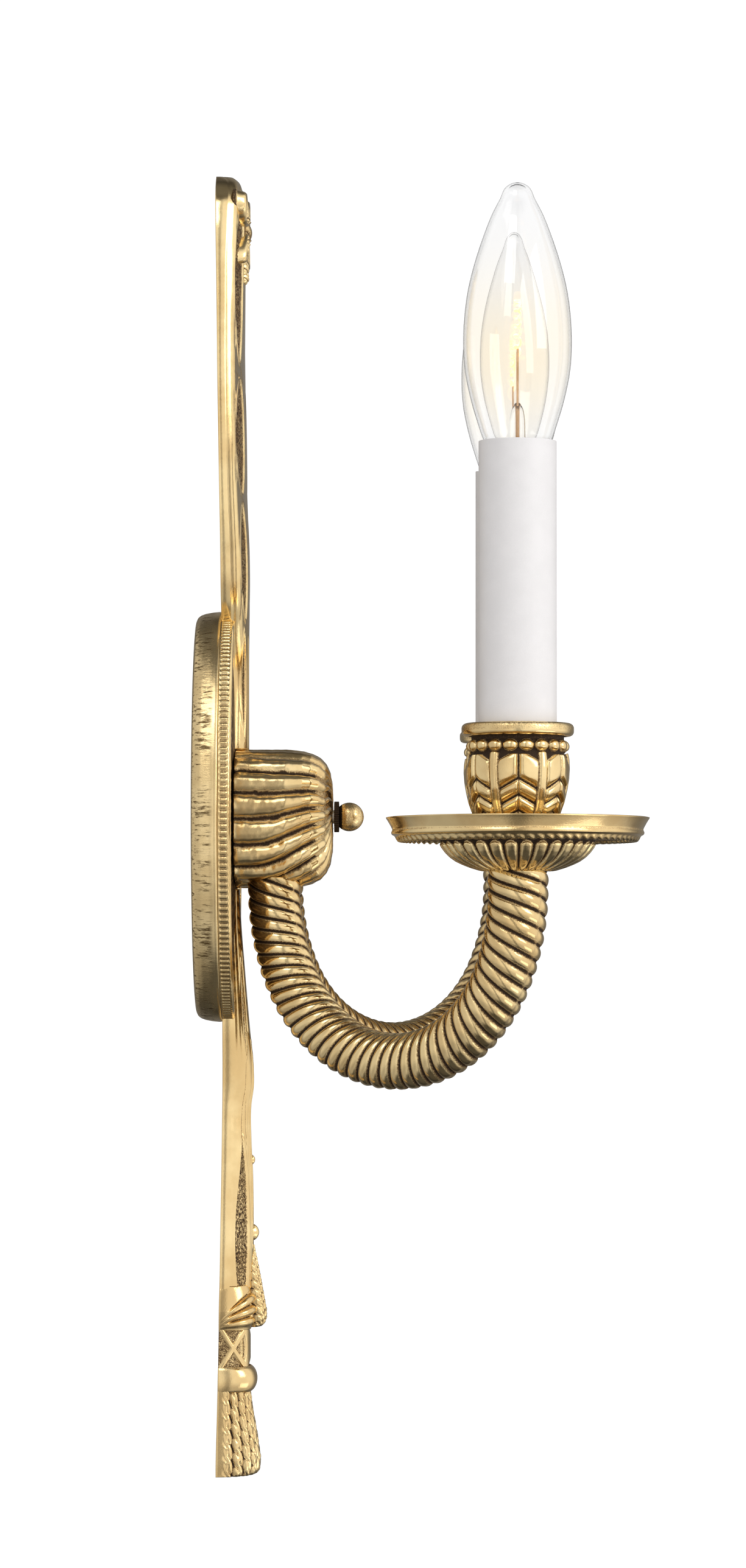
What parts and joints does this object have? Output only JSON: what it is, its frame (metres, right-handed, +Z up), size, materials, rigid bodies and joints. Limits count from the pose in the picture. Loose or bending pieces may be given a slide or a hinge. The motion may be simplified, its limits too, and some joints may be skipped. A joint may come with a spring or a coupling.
{
  "type": "wall sconce",
  "caption": "Cast brass wall sconce: long ribbon-and-tassel backplate over an oval canopy, fluted body, rope-twist U arms, drip pans, candle cups, white sleeves and torpedo bulbs.",
  "frame": {"origin": "the middle of the mounting strap's wall face, which is the middle of the canopy's wall side", "axes": "+Y into the wall, so the sconce faces -Y; +Z up; +X to the right of someone facing it"},
  "size_m": [0.2162, 0.1353, 0.3945],
  "materials": {
    "cast_brass": "antiqued cast brass, polished high spots over a dark brown patina",
    "canopy_brass": "brushed and aged brass with fine chatter marks",
    "turned_brass": "turned and polished brass",
    "shell_brass": "thin stamped brass",
    "zinc_steel": "zinc plated",
    "green_screw": "green lacquer",
    "white_sleeve": "satin white",
    "black_phenolic": "moulded phenolic",
    "clear_glass": "clear",
    "solder": "dull solder",
    "filament": "tungsten and nickel wire",
    "black_wire": "insulated wire",
    "white_wire": "insulated wire",
    "connector_plastic": "moulded, orange"
  },
  "bodies": {
    "sconce": {"mounting_strap": "zinc_steel", "ground_screw": "green_screw", "centre_rod": "zinc_steel", "strap_nut": "zinc_steel", "canopy": "canopy_brass", "backplate": "cast_brass", "body_cup": "cast_brass", "wire_connectors": "connector_plastic", "drip_pan_left": "cast_brass", "candle_cup_left": "cast_brass", "candle_nipple_left": "zinc_steel", "candle_nut_left": "zinc_steel", "socket_leg_left": "zinc_steel", "socket_housing_left": "black_phenolic", "socket_shell_left": "shell_brass", "socket_contact_left": "shell_brass", "arm_left": "cast_brass", "arm_nipple_left": "zinc_steel", "arm_nut_left": "zinc_steel", "hot_wire_left": "black_wire", "neutral_wire_left": "white_wire", "drip_pan_right": "cast_brass", "candle_cup_right": "cast_brass", "candle_nipple_right": "zinc_steel", "candle_nut_right": "zinc_steel", "socket_leg_right": "zinc_steel", "socket_housing_right": "black_phenolic", "socket_shell_right": "shell_brass", "socket_contact_right": "shell_brass", "arm_right": "cast_brass", "arm_nipple_right": "zinc_steel", "arm_nut_right": "zinc_steel", "hot_wire_right": "black_wire", "neutral_wire_right": "white_wire"},
    "finial": {"ball_finial": "turned_brass"},
    "sleeve_left": {"candle_sleeve_left": "white_sleeve"},
    "bulb_left": {"bulb_glass_left": "clear_glass", "bulb_base_left": "shell_brass", "bulb_insulator_left": "black_phenolic", "bulb_contact_left": "solder", "bulb_stem_left": "clear_glass", "bulb_filament_left": "filament"},
    "sleeve_right": {"candle_sleeve_right": "white_sleeve"},
    "bulb_right": {"bulb_glass_right": "clear_glass", "bulb_base_right": "shell_brass", "bulb_insulator_right": "black_phenolic", "bulb_contact_right": "solder", "bulb_stem_right": "clear_glass", "bulb_filament_right": "filament"}
  },
  "joints": [
    {"name": "finial_turn", "type": "hinge", "parent": "sconce", "child": "finial", "pos_m": [0, 0, 0], "axis": [0, -1, 0], "continuous": true},
    {"name": "sleeve_left_lift", "type": "slide", "parent": "sconce", "child": "sleeve_left", "axis": [0.0314, 0, 0.9995], "range_m": [0, 0.1]},
    {"name": "bulb_left_turn", "type": "hinge", "parent": "sleeve_left", "child": "bulb_left", "pos_m": [-0.06636, -0.0967, 0.09994], "axis": [0.0314, 0, 0.9995], "continuous": true},
    {"name": "sleeve_right_lift", "type": "slide", "parent": "sconce", "child": "sleeve_right", "axis": [-0.0314, 0, 0.9995], "range_m": [0, 0.1]},
    {"name": "bulb_right_turn", "type": "hinge", "parent": "sleeve_right", "child": "bulb_right", "pos_m": [0.06636, -0.0967, 0.09994], "axis": [-0.0314, 0, 0.9995], "continuous": true}
  ]
}
